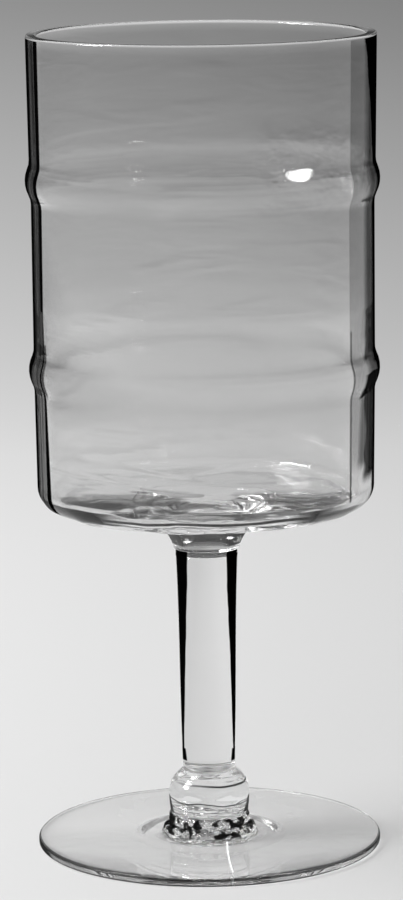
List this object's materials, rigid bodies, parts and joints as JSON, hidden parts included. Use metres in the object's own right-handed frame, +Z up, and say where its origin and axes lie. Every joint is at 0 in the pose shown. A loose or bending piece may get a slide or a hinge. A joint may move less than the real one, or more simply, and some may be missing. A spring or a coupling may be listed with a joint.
{
  "type": "water goblet",
  "caption": "Clear glass water goblet: straight cylindrical bowl with swelled rings, short solid stem with a knop, and a flat disc foot.",
  "frame": {"origin": "on the table plane, on the axis of the goblet, under the middle of its foot", "axes": "+Z up along the axis of stem and bowl; +X to the right and +Y away from the viewer of the picture"},
  "size_m": [0.0763, 0.0762, 0.178],
  "materials": {
    "foot_glass": "clear fire-polished glass",
    "stem_glass": "clear fire-polished glass",
    "bowl_glass": "clear blown glass with faint flow lines"
  },
  "bodies": {
    "root": {"foot": "foot_glass", "foot_button": "stem_glass", "knop_ring": "stem_glass", "knop": "stem_glass", "stem": "stem_glass", "bowl_collar": "stem_glass", "bowl": "bowl_glass"}
  },
  "joints": []
}
